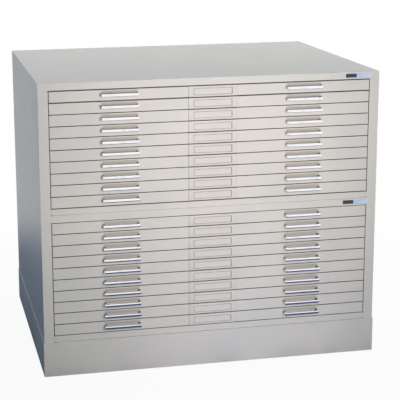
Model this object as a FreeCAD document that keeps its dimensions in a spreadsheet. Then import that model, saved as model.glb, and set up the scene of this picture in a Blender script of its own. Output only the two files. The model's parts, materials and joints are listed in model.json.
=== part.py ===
import FreeCAD, Part
import os
import re
import Sketcher
from FreeCAD import Placement, Rotation, Vector

# Two stacked ten-drawer flat files on a closed base.
# Millimetres, +X to the right, +Y to the back, +Z up. The origin is on the floor, midway across
# the width and midway between the front of the pulls and the back of the cabinet.

# Driving dimensions, one cell of the sheet each.
SIZES = {
    # Cabinet units and base
    "cabinet_width": 1035,
    "cabinet_depth": 785,
    "unit_height": 391.4,
    "base_height": 106.5,
    "base_lip": 2,
    "base_gauge": 1.5,
    "base_flange": 30,
    "case_gauge": 1,
    "bend_radius": 0.8,
    "top_rail": 22.3,
    "bottom_rail": 20,
    "stile_width": 30.2,
    "stile_return": 18,
    "rail_return": 12,
    "rear_flange": 25,
    "cap_lip": 18,
    "pan_rise": 3,
    "seam": 0.3,
    # Drawer places
    "drawer_gap": 1.6,
    "face_side_gap": 1.5,
    # Drawer face and tray
    "tray_gauge": 1,
    "face_fold": 14,
    "access_radius": 6,
    "tray_side_gap": 6.6,
    "tray_rear_gap": 41,
    "tray_headroom": 10.75,
    "tray_flange": 15,
    "flange_setback": 4,
    "rear_flange_reach": 10,
    "hood_depth": 150,
    "hood_overlap": 5,
    # Label holder
    "label_width": 147,
    "label_gauge": 0.8,
    "label_margin": 0.8,
    "card_width": 116.4,
    "card_height": 20,
    "card_rim": 1.6,
    "card_rim_rise": 1,
    # Pulls
    "pull_spacing": 559,
    "pull_length": 112,
    "pull_height": 8,
    "pull_reach": 24,
    "pull_bar": 4.5,
    "pull_post": 8,
    "pull_rise": 2,
    "pull_corner": 4,
    "pull_edge": 1.2,
    "screw_radius": 1.9,
    "screw_play": 0.1,
    "screw_depth": 8,
    "screw_head_radius": 3.6,
    "screw_head_height": 2.2,
    "screw_crown": 1.5,
    # Runners and rollers
    "runner_gauge": 1,
    "runner_width": 13,
    "runner_start": 22,
    "runner_rear_gap": 12,
    "running_gap": 0.3,
    "roller_gap": 1,
    "roller_radius": 8,
    "roller_width": 7,
    "roller_edge": 0.8,
    "axle_radius": 3,
    "axle_play": 0.05,
    "axle_collar_radius": 5,
    "axle_head_radius": 4.5,
    "axle_head": 0.8,
    "axle_side_play": 0.2,
    "front_roller_setback": 45,
    "rear_roller_inset": 20,
    "drawer_hold": 182,
    "stop_tab_height": 5,
    "stop_tab": 1.5,
    # Uprights
    "upright_width": 30,
    "upright_rear_inset": 70,
    # Bolts
    "bolt_radius": 4,
    "bolt_play": 0.25,
    "bolt_head_radius": 6.5,
    "bolt_head_height": 4,
    "bolt_inset": 15.5,
    "bolt_setback": 100,
    "bolt_shank_spare": 1.5,
    # Badge plates
    "badge_width": 82,
    "badge_height": 11.5,
    "badge_gauge": 1.2,
    "badge_right": 24,
    "badge_corner": 1,
    # Overrun of the cutting tools, and how near an edge has to be to count as at a place
    "overrun": 2,
    "match": 0.03,
}

DRAWERS_PER_UNIT = 10

# Places worked out from the driving dimensions.
PLACES = {
    "half_width": "cabinet_width / 2",
    "front_plane": "pull_reach - (cabinet_depth + pull_reach) / 2",
    "upper_floor": "base_height + unit_height",
    "opening_half": "half_width - stile_width",
    "wall_inside": "half_width - case_gauge",
    "lip_inside": "wall_inside - case_gauge",
    "back_outside": "cabinet_depth - case_gauge",
    "back_inside": "back_outside - case_gauge",
    "cap_under": "unit_height - case_gauge",
    "rail_under": "unit_height - top_rail",
    "first_cell_top": "rail_under - drawer_gap / 2",
    "drawer_pitch": f"(first_cell_top - bottom_rail - drawer_gap / 2) / {DRAWERS_PER_UNIT}",
    "face_low": "drawer_gap / 2",
    "face_high": "drawer_pitch - drawer_gap / 2",
    "face_half": "opening_half - face_side_gap",
    "runner_outside": "opening_half + seam",
    "runner_web": "runner_outside - runner_gauge",
    "runner_lip": "runner_outside - runner_width",
    "tray_half_width": "runner_lip - tray_side_gap",
    "tray_length": "back_inside - tray_rear_gap",
    "tray_low": "face_low + tray_gauge",
    "tray_floor": "tray_low + tray_gauge",
    "tray_high": "tray_low + drawer_pitch - tray_headroom",
    "tray_inside": "tray_half_width - tray_gauge",
    "flange_under": "tray_high - tray_gauge",
    "front_roller_level": "flange_under - running_gap - roller_radius",
    "runner_floor": "front_roller_level - roller_radius - roller_gap",
    "rear_roller_level": "runner_floor + running_gap + roller_radius",
    "runner_low": "runner_floor - runner_gauge",
    "runner_high": "tray_high + roller_gap + runner_gauge",
    "runner_end": "back_inside - runner_rear_gap",
    "roller_near": "runner_lip + (runner_width - runner_gauge - roller_width) / 2",
    "roller_far": "roller_near + roller_width",
    "rear_roller_place": "tray_length - rear_roller_inset",
    "drawer_travel": "tray_length - drawer_hold",
    "stop_front": "rear_roller_place - drawer_travel - roller_radius - running_gap",
    "pull_level": "drawer_pitch / 2 + pull_rise",
    "pull_screw_offset": "pull_length / 2 - pull_post / 2",
    "upright_low": "pan_rise + case_gauge",
    "label_low": "face_low + label_margin",
    "label_high": "face_high - label_margin",
    "card_low": "(drawer_pitch - card_height) / 2",
    "base_half": "half_width + base_lip",
}

ALONG_X = Rotation(Vector(0, 1, 0), 90)
ALONG_Y = Rotation(Vector(1, 0, 0), -90)
UPWARDS = Rotation()
WORD = re.compile(r"[a-z][a-z_]*")

doc = FreeCAD.newDocument("flat_file")
sheet = doc.addObject("Spreadsheet::Sheet", "Sizes")
for row, (name, value) in enumerate(SIZES.items(), start=1):
    sheet.set(f"A{row}", name)
    sheet.set(f"B{row}", str(value))
    sheet.setAlias(f"B{row}", name)
for row, (name, formula) in enumerate(PLACES.items(), start=1):
    sheet.set(f"D{row}", name)
    sheet.set(f"E{row}", f"={formula}")
    sheet.setAlias(f"E{row}", name)
doc.recompute()


def named(formula):
    """The formula with every name in it read from the sheet."""
    return WORD.sub(lambda word: f"Sizes.{word[0]}", formula)


def bind(thing, prop, formula):
    """Tie a property to the sheet."""
    thing.setExpression(prop, named(formula))


def size(name):
    """A cell of the sheet, for the edge lists that hold plain numbers."""
    return float(getattr(sheet, name))


# Building blocks


def plate(name, low, high):
    """A flat wall or block between two corners."""
    block = doc.addObject("Part::Box", name)
    for prop, axis, near, far in zip(("Length", "Width", "Height"), "xyz", low, high):
        bind(block, prop, f"({far}) - ({near})")
        bind(block, f"Placement.Base.{axis}", near)
    return block


def rod(name, radius, low, high, turn):
    """A round bar from low towards high along the axis that turn gives."""
    bar = doc.addObject("Part::Cylinder", name)
    bar.Placement = Placement(Vector(), turn)
    bind(bar, "Radius", radius)
    bind(bar, "Height", high)
    for axis, place in zip("xyz", low):
        bind(bar, f"Placement.Base.{axis}", place)
    return bar


def fuse(name, pieces):
    """One solid folded or welded from several walls."""
    joined = doc.addObject("Part::MultiFuse", name)
    joined.Shapes = pieces
    joined.Refine = True
    return joined


def drill(name, piece, tools):
    """A piece with the tools taken out of it."""
    removed = tools[0] if len(tools) == 1 else fuse(f"{name}_tools", tools)
    cut = doc.addObject("Part::Cut", name)
    cut.Base = piece
    cut.Tool = removed
    return cut


def mirrored(name, piece):
    """The same piece for the left-hand side."""
    twin = doc.addObject("Part::Mirroring", name)
    twin.Source = piece
    twin.Normal = Vector(1, 0, 0)
    return twin


def placed(name, pieces, along="0", back="0", up="0"):
    """A set of pieces at one place. The pieces stay separate solids."""
    held = doc.addObject("Part::Compound", name)
    held.Links = pieces
    bind(held, "Placement.Base.x", along)
    bind(held, "Placement.Base.y", back)
    bind(held, "Placement.Base.z", up)
    return held


def rounded(name, piece, radius, chosen):
    """A piece with the chosen edges rounded."""
    doc.recompute()
    numbers = [n for n, edge in enumerate(piece.Shape.Edges, start=1) if chosen(edge)]
    soft = doc.addObject("Part::Fillet", name)
    soft.Base = piece
    soft.Edges = [(number, size(radius), size(radius)) for number in numbers]
    return soft


def body(name):
    """An empty body and its base planes by role."""
    part = doc.addObject("PartDesign::Body", name)
    return part, {plane.Role: plane for plane in part.Origin.OriginFeatures}


def outline(part, plane, name, points):
    """A closed sketch whose corners are tied to the sheet."""
    sketch = part.newObject("Sketcher::SketchObject", name)
    sketch.AttachmentSupport = [(plane, "")]
    sketch.MapMode = "FlatFace"
    count = len(points)
    values = [tuple(float(sheet.evalExpression(entry)) for entry in point) for point in points]
    for n in range(count):
        start, end = values[n], values[(n + 1) % count]
        sketch.addGeometry(Part.LineSegment(Vector(*start, 0), Vector(*end, 0)), False)
    for n in range(count):
        sketch.addConstraint(Sketcher.Constraint("Coincident", n, 2, (n + 1) % count, 1))
    for n, (point, value) in enumerate(zip(points, values)):
        for kind, entry, distance in zip(("DistanceX", "DistanceY"), point, value):
            number = sketch.addConstraint(Sketcher.Constraint(kind, -1, 1, n, 1, distance))
            sketch.setExpression(f"Constraints[{number}]", named(entry))
    return sketch


def pad(part, sketch, name, length, reverse=False):
    """A pad of a sketch, whose length is tied to the sheet."""
    raised = part.newObject("PartDesign::Pad", name)
    raised.Profile = sketch
    raised.Reversed = reverse
    bind(raised, "Length", length)
    doc.recompute()
    return raised


def soften(part, feature, name, radius, chosen):
    """A fillet on the chosen edges of a body."""
    edges = [f"Edge{n}" for n, edge in enumerate(feature.Shape.Edges, start=1) if chosen(edge)]
    fillet = part.newObject("PartDesign::Fillet", name)
    fillet.Base = (feature, edges)
    bind(fillet, "Radius", radius)
    doc.recompute()
    return fillet


def runs(edge, axis):
    """Whether a straight edge lies along an axis, 0 for X, 1 for Y, 2 for Z."""
    start, end = edge.Vertexes[0].Point, edge.Vertexes[-1].Point
    across = [abs(end[n] - start[n]) for n in range(3)]
    return across[axis] > 0 and max(across[:axis] + across[axis + 1:]) < size("match")


def at(edge, axis, place):
    """Whether the middle of an edge is at a place on an axis."""
    return abs(edge.CenterOfMass[axis] - place) < size("match")


# Case of one unit. X runs from the middle, Y from the front plane, Z from the unit's floor.


def case_cap():
    """Top sheet with its front rail, side lips and rear lip folded down."""
    half, wall, back = "half_width", "wall_inside", "back_inside"
    lip_low = "cap_under - cap_lip"
    top = plate("cap_top", (f"-{half}", "0", "cap_under"), (half, "cabinet_depth", "unit_height"))
    front = plate("cap_front", (f"-{half}", "0", "rail_under"), (half, "case_gauge", "unit_height"))
    fold = plate(
        "cap_fold",
        ("-opening_half", "0", "rail_under"),
        ("opening_half", "rail_return", "rail_under + case_gauge"),
    )
    right = plate("cap_lip_right", ("lip_inside", "case_gauge", lip_low), (wall, back, "unit_height"))
    left = plate("cap_lip_left", (f"-{wall}", "case_gauge", lip_low), ("-lip_inside", back, "unit_height"))
    rear = plate(
        "cap_lip_rear",
        ("-lip_inside", "back_inside - case_gauge", lip_low),
        ("lip_inside", back, "unit_height"),
    )
    folded = fuse("cap_folded", [top, front, fold, right, left, rear])
    shortest, top_level = size("cap_lip"), size("unit_height")

    def outer(edge):
        along_rim = runs(edge, 0) or runs(edge, 1)
        return along_rim and at(edge, 2, top_level) and edge.Length > shortest

    return rounded("cap_rounded", folded, "bend_radius", outer)


def case_side():
    """Right-hand side sheet with the front stile, its return and the rear flange."""
    low, stile_top = "0", "rail_under - seam"
    wall = plate("side_wall", ("wall_inside", "0", low), ("half_width", "cabinet_depth", stile_top))
    above = plate(
        "side_wall_above",
        ("wall_inside", "case_gauge", "rail_under - seam"),
        ("half_width", "cabinet_depth", "cap_under"),
    )
    stile = plate("side_stile", ("opening_half", "0", low), ("half_width", "case_gauge", stile_top))
    back_fold = plate(
        "side_stile_return",
        ("opening_half", "0", low),
        ("opening_half + case_gauge", "stile_return", stile_top),
    )
    rear = plate(
        "side_rear_flange",
        ("half_width - rear_flange", "back_outside", low),
        ("half_width", "cabinet_depth", "cap_under"),
    )
    folded = fuse("side_folded", [wall, above, stile, back_fold, rear])
    corner, edge_of_stile = size("half_width"), size("opening_half")

    def outer(edge):
        front_edge = runs(edge, 2) and at(edge, 1, 0)
        return front_edge and (at(edge, 0, corner) or at(edge, 0, edge_of_stile))

    return rounded("side_rounded", folded, "bend_radius", outer)


def case_back():
    """Flat back sheet inside the rear flanges."""
    return plate(
        "back_sheet",
        ("-wall_inside", "back_inside", "0"),
        ("wall_inside", "back_outside", "cap_under"),
    )


def case_pan():
    """Floor of the unit with the bottom rail folded up between the stiles."""
    rail_half = "(opening_half - seam)"
    lip_top = "pan_rise + cap_lip"
    floor = plate(
        "pan_floor",
        ("-wall_inside", "stile_return + seam", "pan_rise"),
        ("wall_inside", "back_inside", "pan_rise + case_gauge"),
    )
    tongue = plate(
        "pan_tongue",
        (f"-{rail_half}", "0", "pan_rise"),
        (rail_half, "stile_return + case_gauge", "pan_rise + case_gauge"),
    )
    rail = plate("pan_rail", (f"-{rail_half}", "0", "pan_rise"), (rail_half, "case_gauge", "bottom_rail"))
    fold = plate(
        "pan_fold",
        (f"-{rail_half}", "0", "bottom_rail - case_gauge"),
        (rail_half, "rail_return", "bottom_rail"),
    )
    right = plate(
        "pan_lip_right",
        ("lip_inside", "stile_return + seam", "pan_rise"),
        ("wall_inside", "back_inside", lip_top),
    )
    left = plate(
        "pan_lip_left",
        ("-wall_inside", "stile_return + seam", "pan_rise"),
        ("-lip_inside", "back_inside", lip_top),
    )
    return fuse("pan_folded", [floor, tongue, rail, fold, right, left])


def case_upright(name, start):
    """Right-hand channel that carries the runners at one distance from the front."""
    inner, low, high = "runner_outside", "upright_low", "cap_under"
    far = f"{start} + upright_width"
    web = plate(f"{name}_web", (inner, start, low), (f"{inner} + case_gauge", far, high))
    near = plate(f"{name}_near", (inner, start, low), ("lip_inside", f"{start} + case_gauge", high))
    rear = plate(f"{name}_rear", (inner, f"{far} - case_gauge", low), ("lip_inside", far, high))
    return fuse(f"{name}_folded", [web, near, rear])


def runner():
    """Right-hand roller channel of one drawer, with its stop tabs."""
    part, planes = body("runner_channel")
    corners = [
        ("runner_outside", "runner_low"),
        ("runner_outside", "runner_high"),
        ("runner_lip", "runner_high"),
        ("runner_lip", "runner_high - runner_gauge"),
        ("runner_web", "runner_high - runner_gauge"),
        ("runner_web", "runner_floor"),
        ("runner_lip", "runner_floor"),
        ("runner_lip", "runner_low"),
    ]
    section = outline(part, planes["XZ_Plane"], "runner_section", corners)
    pad(part, section, "runner_length", "runner_end - runner_start", reverse=True)
    bind(part, "Placement.Base.y", "runner_start")
    rear_stop = "rear_roller_place + roller_radius + running_gap"
    tabs = [
        plate(
            f"runner_{name}_tab",
            ("roller_near", start, "runner_low"),
            ("runner_outside", f"{start} + stop_tab", "runner_floor + stop_tab_height"),
        )
        for name, start in (("front", "stop_front - stop_tab"), ("rear", rear_stop))
    ]
    return fuse("runner_whole", [part, *tabs])


def roller(name, back, level):
    """Right-hand roller with a bored hub."""
    wheel = rod(f"{name}_disc", "roller_radius", ("roller_near", back, level), "roller_width", ALONG_X)
    rim = size("roller_radius")
    soft = rounded(f"{name}_tyre", wheel, "roller_edge", lambda edge: is_round(edge, rim))
    bore = rod(
        f"{name}_bore",
        "axle_radius + axle_play",
        ("roller_near - overrun", back, level),
        "roller_width + 2 * overrun",
        ALONG_X,
    )
    return drill(f"{name}_wheel", soft, [bore])


def is_round(edge, radius):
    """Whether an edge is an arc or circle of a radius."""
    return isinstance(edge.Curve, Part.Circle) and abs(edge.Curve.Radius - radius) < size("match")


def axle(name, back, level, seat, outward):
    """Right-hand stepped axle from its seat to the head beyond the roller."""
    near, far = "roller_near - axle_side_play", "roller_far + axle_side_play"
    if outward:
        collar = (seat, f"{near} - ({seat})")
        pin = (seat, f"{far} + axle_head - ({seat})")
        head = (far, "axle_head")
    else:
        collar = (far, f"{seat} - ({far})")
        pin = (f"{near} - axle_head", f"{seat} - ({near}) + axle_head")
        head = (f"{near} - axle_head", "axle_head")
    rods = [
        rod(f"{name}_{kind}", radius, (start, back, level), length, ALONG_X)
        for kind, radius, (start, length) in (
            ("collar", "axle_collar_radius", collar),
            ("pin", "axle_radius", pin),
            ("head", "axle_head_radius", head),
        )
    ]
    return fuse(f"{name}_axle", rods)


# One drawer. X runs from the middle, Y from the front plane, Z from the bottom of its cell.


def pull_places():
    """The two pulls' middles, as the side's sign and its name."""
    return (("", "right"), ("-", "left"))


def drawer_face():
    """Folded front of the drawer with its four screw holes."""
    low, high = "face_low", "face_high"
    front = plate("face_front", ("-face_half", "0", low), ("face_half", "tray_gauge", high))
    top = plate("face_top", ("-face_half", "0", f"{high} - tray_gauge"), ("face_half", "face_fold", high))
    bottom = plate("face_bottom", ("-face_half", "0", low), ("face_half", "face_fold", f"{low} + tray_gauge"))
    right = plate("face_right", ("face_half - tray_gauge", "0", low), ("face_half", "face_fold", high))
    left = plate("face_left", ("-face_half", "0", low), ("-face_half + tray_gauge", "face_fold", high))
    folded = fuse("face_folded", [front, top, bottom, right, left])
    reach = size("face_half") / 2

    def outer(edge):
        return at(edge, 1, 0) and (runs(edge, 0) and edge.Length > reach or runs(edge, 2))

    soft = rounded("face_rounded", folded, "bend_radius", outer)
    holes = [
        rod(
            f"face_hole_{side}_{end}",
            "screw_radius + screw_play",
            (f"{sign}pull_spacing / 2 {offset} pull_screw_offset", "-overrun", "pull_level"),
            "tray_gauge + 2 * overrun",
            ALONG_Y,
        )
        for sign, side in pull_places()
        for offset, end in (("-", "near"), ("+", "far"))
    ]
    return drill("face_drilled", soft, holes)


def face_liner():
    """Inner wall that closes the back of the folded face, with the four holes that reach its screws."""
    half, near = "(face_half - tray_gauge)", "face_fold - tray_gauge"
    top = "face_high - tray_gauge"
    wall = plate("liner_wall", (f"-{half}", near, "tray_floor"), (half, "face_fold", top))
    holes = [
        rod(
            f"liner_hole_{side}_{end}",
            "access_radius",
            (f"{sign}pull_spacing / 2 {offset} pull_screw_offset", f"{near} - overrun", "pull_level"),
            "tray_gauge + 2 * overrun",
            ALONG_Y,
        )
        for sign, side in pull_places()
        for offset, end in (("-", "near"), ("+", "far"))
    ]
    return drill("liner_drilled", wall, holes)


def drawer_tray():
    """Floor sheet, side walls whose flanges run on the rollers, and rear wall."""
    side, high = "tray_half_width", "tray_high"
    near, far = (f"-{side}", "tray_gauge", "tray_low"), (side, "tray_length", "tray_floor")
    floor = plate("tray_floor_sheet", near, far)
    wall = plate("tray_side_wall", ("tray_inside", "face_fold", "tray_floor"), (side, "tray_length", high))
    wing = plate(
        "tray_side_flange",
        ("tray_inside", "face_fold + flange_setback", "flange_under"),
        (f"{side} + tray_flange", "tray_length", high),
    )
    right = fuse("tray_side", [wall, wing])
    end = plate(
        "tray_rear_wall",
        ("-tray_inside", "tray_length - tray_gauge", "tray_floor"),
        ("tray_inside", "tray_length", high),
    )
    shelf = plate(
        "tray_rear_flange",
        ("-tray_inside", "tray_length - tray_gauge", "flange_under"),
        ("tray_inside", "tray_length + rear_flange_reach", high),
    )
    return [floor, right, mirrored("tray_side_left", right), fuse("tray_rear", [end, shelf])]


def drawer_hood():
    """Rear hood that keeps the sheets down at the back, welded on the side walls and the rear flange."""
    half = "(tray_half_width + hood_overlap)"
    return plate(
        "hood_sheet",
        (f"-{half}", "tray_length - hood_depth", "tray_high"),
        (half, "tray_length + rear_flange_reach", "tray_high + tray_gauge"),
    )


def label_holder():
    """Full-height plate in the middle of the face with a raised card frame."""
    part, planes = body("label_plate")
    ground = [
        ("-label_width / 2", "label_low"),
        ("label_width / 2", "label_low"),
        ("label_width / 2", "label_high"),
        ("-label_width / 2", "label_high"),
    ]
    sketch = outline(part, planes["XZ_Plane"], "label_ground", ground)
    pad(part, sketch, "label_sheet", "label_gauge")
    rim = []
    half, low, high = "card_width / 2", "card_low", "(card_low + card_height)"
    bars = {
        "bottom": ((f"-{half} - card_rim", f"{low} - card_rim"), (f"{half} + card_rim", low)),
        "top": ((f"-{half} - card_rim", high), (f"{half} + card_rim", f"{high} + card_rim")),
        "right": ((half, f"{low} - card_rim"), (f"{half} + card_rim", f"{high} + card_rim")),
        "left": ((f"-{half} - card_rim", f"{low} - card_rim"), (f"-{half}", f"{high} + card_rim")),
    }
    for name, (near, far) in bars.items():
        bar = plate(
            f"label_rim_{name}",
            (near[0], "-label_gauge - card_rim_rise", near[1]),
            (far[0], "-label_gauge / 2", far[1]),
        )
        rim.append(bar)
    return fuse("label_whole", [part, *rim])


def pull():
    """Bow pull with rounded ends and a blind screw hole in each post."""
    part, planes = body("pull_bow")
    half, inner = "pull_length / 2", "(pull_length / 2 - pull_post)"
    reach, back_of_bar = "-pull_reach", "-(pull_reach - pull_bar)"
    corners = [
        (f"-{half}", "0"),
        (f"-{half}", reach),
        (half, reach),
        (half, "0"),
        (inner, "0"),
        (inner, back_of_bar),
        (f"-{inner}", back_of_bar),
        (f"-{inner}", "0"),
    ]
    sketch = outline(part, planes["XY_Plane"], "pull_plan", corners)
    raised = pad(part, sketch, "pull_thickness", "pull_height")
    tip, end = -size("pull_reach"), size("pull_length") / 2

    def corner(edge):
        return runs(edge, 2) and at(edge, 1, tip) and abs(abs(edge.CenterOfMass[0]) - end) < size("match")

    turned = soften(part, raised, "pull_corners", "pull_corner", corner)
    inside = tip + size("pull_bar") / 2

    def front_edge(edge):
        level = at(edge, 2, 0) or at(edge, 2, size("pull_height"))
        return level and edge.CenterOfMass[1] < inside

    soften(part, turned, "pull_edges", "pull_edge", front_edge)
    holes = [
        rod(
            f"pull_hole_{end_name}",
            "screw_radius + screw_play",
            (f"{sign}pull_screw_offset", "-screw_depth - screw_play", "pull_height / 2"),
            "screw_depth + screw_play + overrun",
            ALONG_Y,
        )
        for sign, end_name in (("-", "left"), ("", "right"))
    ]
    return drill("pull_drilled", part, holes)


def pull_screw():
    """Pan-head screw that holds one post of a pull from behind the face."""
    length = "screw_depth + tray_gauge"
    shank = rod("screw_shank", "screw_radius", ("0", "-screw_depth", "0"), length, ALONG_Y)
    head = rod("screw_head", "screw_head_radius", ("0", "tray_gauge", "0"), "screw_head_height", ALONG_Y)
    rim, crown = size("screw_head_radius"), size("tray_gauge") + size("screw_head_height")
    soft = rounded(
        "screw_head_soft",
        head,
        "screw_crown",
        lambda edge: is_round(edge, rim) and at(edge, 1, crown),
    )
    return fuse("screw_whole", [shank, soft])


def drawer_pulls():
    """Both pulls of a drawer with their screws."""
    bow, screw = pull(), pull_screw()
    pieces = []
    for sign, side in pull_places():
        middle = f"{sign}pull_spacing / 2"
        pieces.append(placed(f"pull_{side}", [bow], middle, "0", "pull_level - pull_height / 2"))
        for offset, end in (("-", "near"), ("+", "far")):
            along = f"{middle} {offset} pull_screw_offset"
            pieces.append(placed(f"pull_screw_{side}_{end}", [screw], along, "0", "pull_level"))
    return pieces


# Base, bolts and badge plates. X runs from the middle, Y from the front plane.


def base_wall(name, wall, flange):
    """Front or back of the base, its wall and its flanges each between two distances."""
    levels = (
        ("wall", wall, "0", "base_height"),
        ("top", flange, "base_height - base_gauge", "base_height"),
        ("foot", flange, "0", "base_gauge"),
    )
    walls = [
        plate(f"{name}_{kind}", ("-base_half", near, low), ("base_half", far, high))
        for kind, (near, far), low, high in levels
    ]
    return fuse(f"{name}_folded", walls)


def base_side():
    """Right-hand side of the base between the front and the back walls."""
    outside, inside, inner = "base_half", "base_half - base_gauge", "base_half - base_flange"
    start, near = "base_gauge - base_lip", "base_flange - base_lip"
    end, far = "cabinet_depth - base_gauge", "cabinet_depth - base_flange"
    under = "base_height - base_gauge"
    levels = (
        ("wall", (inside, start, "base_gauge"), (outside, end, under)),
        ("edge", (inside, near, "0"), (outside, far, "base_height")),
        ("top", (inner, near, under), (outside, far, "base_height")),
        ("foot", (inner, near, "0"), (outside, far, "base_gauge")),
    )
    return fuse("base_side_folded", [plate(f"base_side_{kind}", low, high) for kind, low, high in levels])


def bolt(name, sheet_below):
    """Bolt and nut that tie a unit's floor to the sheet it stands on."""
    floor, nut_low = "pan_rise + case_gauge", f"-{sheet_below} - bolt_head_height"
    shank_low = f"{nut_low} - bolt_shank_spare"
    rods = [
        rod(f"{name}_{kind}", radius, ("0", "0", low), height, UPWARDS)
        for kind, radius, low, height in (
            ("head", "bolt_head_radius", floor, "bolt_head_height"),
            ("nut", "bolt_head_radius", nut_low, "bolt_head_height"),
            ("shank", "bolt_radius", shank_low, f"{floor} - ({shank_low})"),
        )
    ]
    return fuse(f"{name}_whole", rods)


def bolt_places():
    """The four bolt places of a unit as side sign, distance back and name."""
    rows = (("bolt_setback", "front"), ("cabinet_depth - bolt_setback", "rear"))
    return [(sign, back, f"{side}_{row}") for sign, side in pull_places() for back, row in rows]


def bolt_holes(name, low, high):
    """Cutting rods at the four bolt places."""
    return [
        rod(
            f"{name}_hole_{place}",
            "bolt_radius + bolt_play",
            (f"{sign}(half_width - bolt_inset)", back, f"{low} - overrun"),
            f"{high} - ({low}) + 2 * overrun",
            UPWARDS,
        )
        for sign, back, place in bolt_places()
    ]


def badge():
    """Blank plate for the right-hand end of a top rail."""
    part, planes = body("badge_plate")
    right, level = "half_width - badge_right", "unit_height - top_rail / 2"
    corners = [
        (f"{right} - badge_width", f"{level} - badge_height / 2"),
        (right, f"{level} - badge_height / 2"),
        (right, f"{level} + badge_height / 2"),
        (f"{right} - badge_width", f"{level} + badge_height / 2"),
    ]
    sketch = outline(part, planes["XZ_Plane"], "badge_outline", corners)
    raised = pad(part, sketch, "badge_sheet", "badge_gauge")
    soften(part, raised, "badge_corners", "badge_corner", lambda edge: runs(edge, 1))
    return part


# Assembly: every entry of nodes is one named sub-part.

nodes = []


def node(name, pieces, up, back="front_plane"):
    """A named sub-part at its place in the cabinet."""
    nodes.append(placed(name, pieces, "0", back, up))


cap, side_right, back_sheet, pan = case_cap(), case_side(), case_back(), case_pan()
side_left = mirrored("side_left", side_right)
pan_drilled = drill("pan_drilled", pan, bolt_holes("pan", "pan_rise", "pan_rise + case_gauge"))
cap_drilled = drill("cap_drilled", cap, bolt_holes("cap", "cap_under", "unit_height"))

runner_right = runner()
runner_left = mirrored("runner_left", runner_right)
front_roller = roller("front_roller", "front_roller_setback", "front_roller_level")
front_axle = axle("front_roller", "front_roller_setback", "front_roller_level", "runner_web", False)
rear_roller = roller("rear_roller", "rear_roller_place", "rear_roller_level")
rear_axle = axle("rear_roller", "rear_roller_place", "rear_roller_level", "tray_half_width", True)
front_set = [front_roller, front_axle]
rear_set = [rear_roller, rear_axle]
front_set += [mirrored(f"left_{piece.Name}", piece) for piece in front_set]
rear_set += [mirrored(f"left_{piece.Name}", piece) for piece in rear_set]

tray_set = [drawer_face(), face_liner(), *drawer_tray(), drawer_hood(), label_holder()]
pull_set = drawer_pulls() + rear_set

for unit, floor, cap_piece in (
    ("upper", "upper_floor", cap),
    ("lower", "base_height", cap_drilled),
):
    node(f"{unit}_top_cap", [cap_piece], floor)
    node(f"{unit}_right_side", [side_right], floor)
    node(f"{unit}_left_side", [side_left], floor)
    node(f"{unit}_back_panel", [back_sheet], floor)
    node(f"{unit}_bottom_pan", [pan_drilled], floor)
    runner_copies, roller_copies = [], []
    for number in range(1, DRAWERS_PER_UNIT + 1):
        label = f"{unit}_drawer_{number:02d}"
        cell = f"first_cell_top - {number} * drawer_pitch"
        runner_copies.append(placed(f"{label}_runners", [runner_right, runner_left], up=cell))
        roller_copies.append(placed(f"{label}_front_rollers", front_set, up=cell))
        node(f"{label}_tray", tray_set, f"{floor} + {cell}")
        node(f"{label}_pulls", pull_set, f"{floor} + {cell}")
    node(f"{unit}_runners", runner_copies, floor)
    node(f"{unit}_runner_rollers", roller_copies, floor)

upright_pieces = [
    case_upright("front_upright", "runner_start"),
    case_upright("rear_upright", "back_inside - upright_rear_inset"),
]
upright_pieces += [mirrored(f"left_{piece.Name}", piece) for piece in upright_pieces]
badge_piece = badge()
bolt_pieces = []
for level, floor, below in (("stack", "unit_height", "case_gauge"), ("base", "0", "base_gauge")):
    master = bolt(f"{level}_bolt", below)
    for sign, back, place in bolt_places():
        name = f"{level}_bolt_{place}"
        bolt_pieces.append(placed(name, [master], f"{sign}(half_width - bolt_inset)", back, floor))

both_units = (("lower", "0"), ("upper", "unit_height"))
upright_copies = [placed(f"{unit}_uprights", upright_pieces, up=rise) for unit, rise in both_units]
node("uprights", upright_copies, "base_height")
node("badges", [placed(f"{unit}_badge", [badge_piece], up=rise) for unit, rise in both_units], "base_height")
node("bolts", bolt_pieces, "base_height")

base_holes = bolt_holes("base", "base_height - base_gauge", "base_height")
base_right = drill("base_side_drilled", base_side(), base_holes)
front_wall, front_flange = ("-base_lip", "base_gauge - base_lip"), ("-base_lip", "base_flange - base_lip")
back_wall = ("cabinet_depth - base_gauge", "cabinet_depth")
back_flange = ("cabinet_depth - base_flange", "cabinet_depth")
node("base_front", [base_wall("base_front", front_wall, front_flange)], "0")
node("base_back", [base_wall("base_back", back_wall, back_flange)], "0")
node("base_sides", [base_right, mirrored("base_left", base_right)], "0")

# Every object has to be sound before anything is written.

doc.recompute()
for thing in doc.Objects:
    if {"Invalid", "Error"} & set(thing.State):
        raise RuntimeError(f"{thing.Label} failed: {thing.State}")
for part in nodes:
    if part.Shape.isNull() or not part.Shape.isValid():
        raise RuntimeError(f"{part.Label} has no sound shape")

os.makedirs("parts", exist_ok=True)
for part in nodes:
    Part.makeCompound(part.Shape.Solids).exportStep(f"parts/{part.Label}.step")
    box = part.Shape.BoundBox
    spans = ((box.XMin, box.XMax), (box.YMin, box.YMax), (box.ZMin, box.ZMax))
    print(part.Label, len(part.Shape.Solids), "solids", *(f"{low:.1f} to {high:.1f}" for low, high in spans))
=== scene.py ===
"""Looks of a steel flat file: two ten-drawer units on a base, dressed around the CAD frame.

Everything is in metres, in the frame's own axes: +X right, +Y back and +Z up, with the origin on
the floor.
"""

from __future__ import annotations

import json
import logging
import math
from collections.abc import Iterable
from dataclasses import dataclass, field
from enum import Enum

import bmesh
import bpy
from mathutils import Matrix, Vector

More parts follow.
